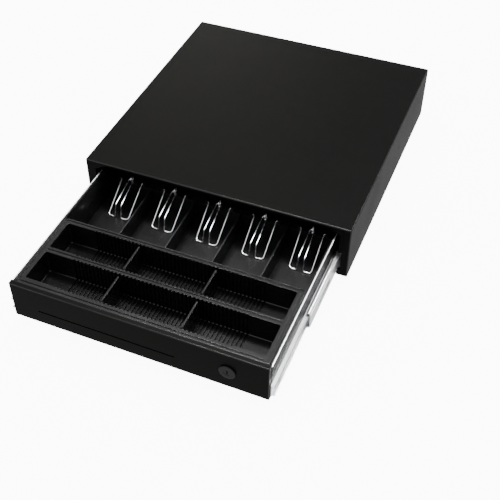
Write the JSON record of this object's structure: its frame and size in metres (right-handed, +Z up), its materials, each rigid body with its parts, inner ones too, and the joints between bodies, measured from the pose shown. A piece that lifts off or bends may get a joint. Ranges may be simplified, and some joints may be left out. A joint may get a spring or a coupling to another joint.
{
  "type": "cash drawer",
  "caption": "Low steel cash drawer on ball-bearing slides, standing open, with note compartments under sprung wire clips and a lift-out coin tray.",
  "frame": {"origin": "middle of the stored (open) object at the level its feet stand on", "axes": "+X to the right seen from the front, +Y from the drawer front to the back of the housing, +Z up"},
  "size_m": [0.41, 0.668, 0.1],
  "materials": {
    "black_coat": "satin black powder coat",
    "zinc_steel": "bright zinc plate",
    "ball_steel": "polished ball steel",
    "chrome_wire": "polished plated wire",
    "screw_steel": "plated screw steel",
    "till_plastic": "black moulded plastic, fine grain",
    "tray_plastic": "charcoal moulded plastic, fine grain",
    "divider_plastic": "charcoal moulded plastic",
    "foot_rubber": "black rubber",
    "lock_metal": "black nickel plated lock",
    "lever_steel": "zinc plated pressed steel",
    "spring_steel": "spring steel",
    "coil_tape": "amber winding tape",
    "switch_plastic": "black moulded switch case",
    "socket_plastic": "black socket moulding",
    "nylon": "natural nylon",
    "lead_sleeve": "black sleeved lead"
  },
  "bodies": {
    "housing": {"housing_cover": "black_coat", "base_plate": "black_coat", "back_panel": "black_coat", "back_screws": "screw_steel", "rubber_feet": "foot_rubber", "foot_screws": "screw_steel", "cover_screws": "screw_steel", "bracket_screws": "screw_steel", "slide_bracket_right": "zinc_steel", "slide_bracket_left": "zinc_steel", "slide_outer_right": "zinc_steel", "slide_outer_left": "zinc_steel", "slide_rivets": "zinc_steel", "latch_bracket": "zinc_steel", "latch_pivot": "zinc_steel", "latch_clip": "spring_steel", "solenoid_frame": "zinc_steel", "solenoid_coil": "coil_tape", "plunger_spring": "spring_steel", "switch_body": "switch_plastic", "ejector_bracket": "zinc_steel", "ejector_guide": "nylon", "ejector_spring": "spring_steel", "jack_socket": "socket_plastic", "wiring": "lead_sleeve"},
    "drawer": {"drawer_pan": "black_coat", "front_panel": "black_coat", "panel_screws": "screw_steel", "striker": "lever_steel", "lock_body": "lock_metal", "lock_nut": "zinc_steel", "slide_inner_right": "zinc_steel", "slide_inner_left": "zinc_steel", "slide_screws": "screw_steel", "till_insert": "till_plastic", "clip_eyes": "chrome_wire"},
    "middle_slide_right": {"slide_middle_right": "zinc_steel"},
    "middle_slide_left": {"slide_middle_left": "zinc_steel"},
    "outer_bearings": {"outer_ball_cages": "zinc_steel", "outer_balls": "ball_steel"},
    "inner_bearings": {"inner_ball_cages": "zinc_steel", "inner_balls": "ball_steel"},
    "lock_barrel": {"lock_plug": "lock_metal", "lock_cam": "lever_steel", "lock_cam_screw": "screw_steel"},
    "coin_tray": {"coin_tray": "tray_plastic"},
    "latch": {"latch_lever": "lever_steel"},
    "plunger": {"solenoid_plunger": "lever_steel"},
    "switch_arm": {"switch_lever": "spring_steel"},
    "bill_clip_1": {"bill_clip_1": "chrome_wire"},
    "bill_clip_2": {"bill_clip_2": "chrome_wire"},
    "bill_clip_3": {"bill_clip_3": "chrome_wire"},
    "bill_clip_4": {"bill_clip_4": "chrome_wire"},
    "bill_clip_5": {"bill_clip_5": "chrome_wire"},
    "coin_divider_1": {"coin_divider_1": "divider_plastic"},
    "coin_divider_2": {"coin_divider_2": "divider_plastic"},
    "coin_divider_3": {"coin_divider_3": "divider_plastic"},
    "coin_divider_4": {"coin_divider_4": "divider_plastic"}
  },
  "joints": [
    {"name": "drawer_slide", "type": "slide", "parent": "housing", "child": "drawer", "axis": [0, -1, 0], "range_m": [-0.246, 0], "deforming": ["ejector_spring"]},
    {"name": "middle_slide_right_run", "type": "slide", "parent": "housing", "child": "middle_slide_right", "axis": [0, -1, 0], "range_m": [-0.123, 0]},
    {"name": "middle_slide_left_run", "type": "slide", "parent": "housing", "child": "middle_slide_left", "axis": [0, -1, 0], "range_m": [-0.123, 0]},
    {"name": "outer_bearing_run", "type": "slide", "parent": "housing", "child": "outer_bearings", "axis": [0, -1, 0], "range_m": [-0.0615, 0]},
    {"name": "inner_bearing_run", "type": "slide", "parent": "housing", "child": "inner_bearings", "axis": [0, -1, 0], "range_m": [-0.1845, 0]},
    {"name": "bill_clip_1_lift", "type": "hinge", "parent": "drawer", "child": "bill_clip_1", "pos_m": [-0.14368, -0.061, 0.057], "axis": [-1, 0, 0], "range_deg": [0, 45]},
    {"name": "bill_clip_2_lift", "type": "hinge", "parent": "drawer", "child": "bill_clip_2", "pos_m": [-0.07184, -0.061, 0.057], "axis": [-1, 0, 0], "range_deg": [0, 45]},
    {"name": "bill_clip_3_lift", "type": "hinge", "parent": "drawer", "child": "bill_clip_3", "pos_m": [0, -0.061, 0.057], "axis": [-1, 0, 0], "range_deg": [0, 45]},
    {"name": "bill_clip_4_lift", "type": "hinge", "parent": "drawer", "child": "bill_clip_4", "pos_m": [0.07184, -0.061, 0.057], "axis": [-1, 0, 0], "range_deg": [0, 45]},
    {"name": "bill_clip_5_lift", "type": "hinge", "parent": "drawer", "child": "bill_clip_5", "pos_m": [0.14368, -0.061, 0.057], "axis": [-1, 0, 0], "range_deg": [0, 45]},
    {"name": "coin_tray_lift", "type": "slide", "parent": "drawer", "child": "coin_tray", "axis": [0, 0, 1], "range_m": [0, 0.06]},
    {"name": "coin_divider_1_lift", "type": "slide", "parent": "coin_tray", "child": "coin_divider_1", "axis": [0, 0, 1], "range_m": [0, 0.042]},
    {"name": "coin_divider_2_lift", "type": "slide", "parent": "coin_tray", "child": "coin_divider_2", "axis": [0, 0, 1], "range_m": [0, 0.042]},
    {"name": "coin_divider_3_lift", "type": "slide", "parent": "coin_tray", "child": "coin_divider_3", "axis": [0, 0, 1], "range_m": [0, 0.042]},
    {"name": "coin_divider_4_lift", "type": "slide", "parent": "coin_tray", "child": "coin_divider_4", "axis": [0, 0, 1], "range_m": [0, 0.042]},
    {"name": "lock_turn", "type": "hinge", "parent": "drawer", "child": "lock_barrel", "pos_m": [0.128, -0.332, 0.0529], "axis": [0, 1, 0], "range_deg": [-90, 0]},
    {"name": "plunger_run", "type": "slide", "parent": "housing", "child": "plunger", "axis": [0, 1, 0], "range_m": [-0.00725, 0], "deforming": ["plunger_spring"]},
    {"name": "latch_swing", "type": "hinge", "parent": "housing", "child": "latch", "pos_m": [0.014, 0.244, 0.0515], "axis": [0, 0, 1], "range_deg": [-14, 0]},
    {"name": "switch_arm_swing", "type": "hinge", "parent": "housing", "child": "switch_arm", "pos_m": [-0.015, 0.2455, 0.0515], "axis": [0, 0, 1], "range_deg": [0, 12.5]}
  ],
  "couplings": [
    {"joint": "middle_slide_right_run", "follows": "drawer_slide", "ratio": 0.5},
    {"joint": "middle_slide_left_run", "follows": "drawer_slide", "ratio": 0.5},
    {"joint": "outer_bearing_run", "follows": "drawer_slide", "ratio": 0.25},
    {"joint": "inner_bearing_run", "follows": "drawer_slide", "ratio": 0.75},
    {"joint": "latch_swing", "follows": "plunger_run", "rad_per_m": 33.67},
    {"joint": "switch_arm_swing", "follows": "plunger_run", "rad_per_m": -29.83}
  ]
}
